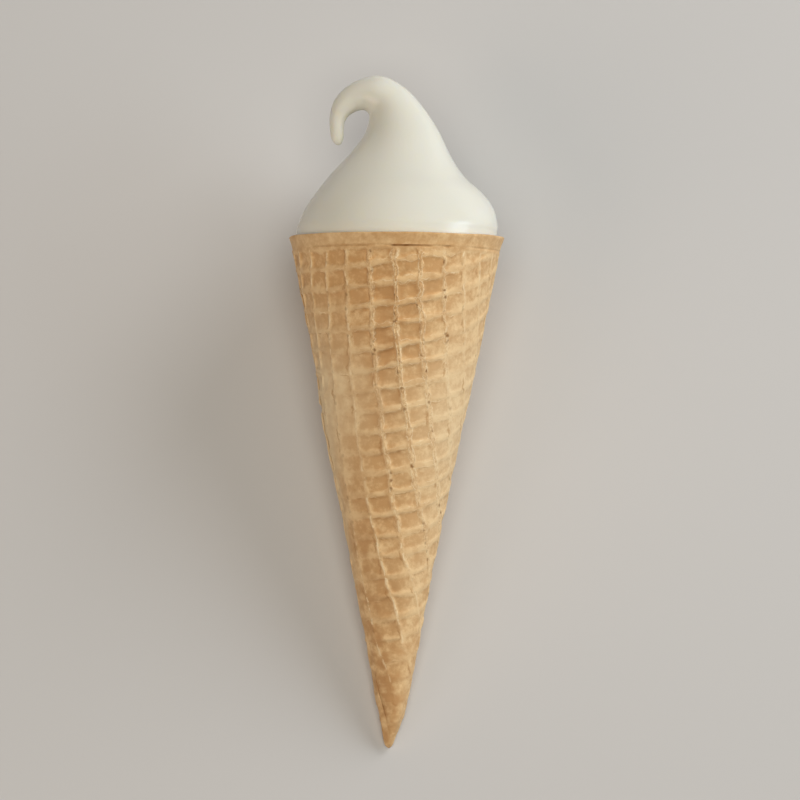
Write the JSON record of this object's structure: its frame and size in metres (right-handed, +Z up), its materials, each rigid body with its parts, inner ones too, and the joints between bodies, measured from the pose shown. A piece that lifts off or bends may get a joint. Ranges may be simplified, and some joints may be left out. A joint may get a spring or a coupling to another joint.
{
  "type": "soft serve cone",
  "caption": "Soft serve with a curled peak in a rolled waffle cone with a plain rim, lying on its side on a small flat spot.",
  "frame": {"origin": "middle of the bounding box in X and Y, on the plane that the cone lies on", "axes": "+Y from the cone's tip towards the curled peak, +Z up through the shown side, +X to the right of the shown side seen with the peak at the top"},
  "size_m": [0.057, 0.1752, 0.055],
  "materials": {
    "wafer": "baked wafer, dry and matt, browned in the pockets and paler on the ribs",
    "cream": "smooth frozen vanilla cream with a soft satin gloss"
  },
  "bodies": {
    "root": {"wafer_cone": "wafer", "soft_serve": "cream"}
  },
  "joints": []
}
